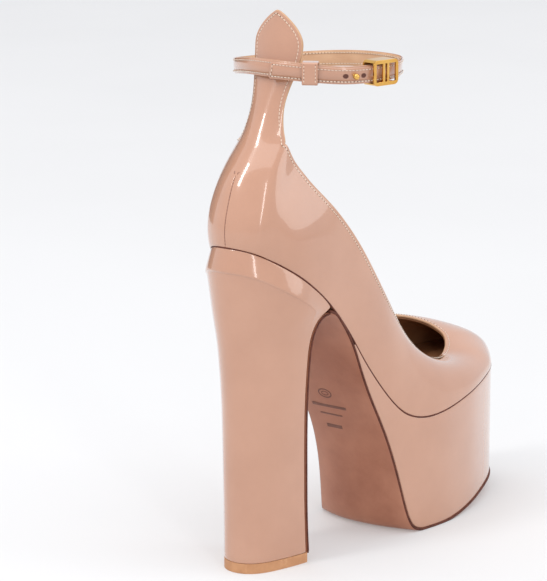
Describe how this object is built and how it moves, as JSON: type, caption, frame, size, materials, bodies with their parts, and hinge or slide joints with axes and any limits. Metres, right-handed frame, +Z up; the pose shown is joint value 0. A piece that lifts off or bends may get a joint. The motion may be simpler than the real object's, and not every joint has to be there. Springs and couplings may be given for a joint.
{
  "type": "platform pump",
  "caption": "High-heel platform pump for the right foot, with a high back tab, a buckled ankle strap and a tall block heel.",
  "frame": {"origin": "on the ground under the middle of the heel's tread", "axes": "+X to the outer (lateral) side of this right shoe, +Y to the toe, +Z up"},
  "size_m": [0.087, 0.2112, 0.257],
  "materials": {
    "patent_leather": "high-gloss nude rose patent leather",
    "lining_leather": "smooth tan lining leather",
    "sole_leather": "semi-matte rose-tan sole leather with dark painted edges",
    "top_piece_rubber": "matte tan",
    "polished_gold": "polished gold plating",
    "steel": "plain",
    "heel_plastic": "moulded, hidden under leather",
    "stiffener_sheet": "resin-stiffened sheet",
    "fibre_board": "cellulose board",
    "cushion_foam": "latex foam",
    "margin_leather": "inside face of the turned-under upper"
  },
  "bodies": {
    "shoe": {"upper_outer": "patent_leather", "heel_counter": "stiffener_sheet", "tab_stiffener": "stiffener_sheet", "toe_puff": "stiffener_sheet", "interlining": "stiffener_sheet", "quarter_lining": "lining_leather", "vamp_lining": "lining_leather", "outsole": "sole_leather", "platform_cover": "patent_leather", "heel_cover": "patent_leather", "heel_breast_cover": "sole_leather", "heel_top_piece": "top_piece_rubber", "top_piece_pins": "steel", "heel_core": "heel_plastic", "platform_core": "heel_plastic", "lasting_margin": "margin_leather", "shank_spring": "steel", "bottom_filler": "stiffener_sheet", "insole_board": "fibre_board", "insole_cushion": "cushion_foam", "sock_lining": "lining_leather", "heel_seat_screw": "steel", "heel_nails": "steel", "shank_rivets": "steel", "strap_anchor": "patent_leather"},
    "ankle_strap": {"ankle_strap_outer": "patent_leather", "ankle_strap_lining": "lining_leather", "strap_end_loop": "patent_leather", "ball_stud": "polished_gold", "stud_washer": "steel"},
    "keeper": {"keeper_loop": "patent_leather"},
    "buckle": {"buckle_frame": "polished_gold", "buckle_bar": "polished_gold"}
  },
  "joints": [
    {"name": "strap_tilt", "type": "hinge", "parent": "shoe", "child": "ankle_strap", "pos_m": [0, 0.0095, 0.2318], "axis": [1, 0, 0], "range_deg": [-8, 8]},
    {"name": "keeper_slide", "type": "slide", "parent": "ankle_strap", "child": "keeper", "axis": [0.8557, 0.5175, 0], "range_m": [-0.0015, 0.0015]},
    {"name": "buckle_swing", "type": "hinge", "parent": "ankle_strap", "child": "buckle", "pos_m": [0.03914, 0.04353, 0.23007], "axis": [0, 0, 1], "range_deg": [-4, 4]}
  ]
}
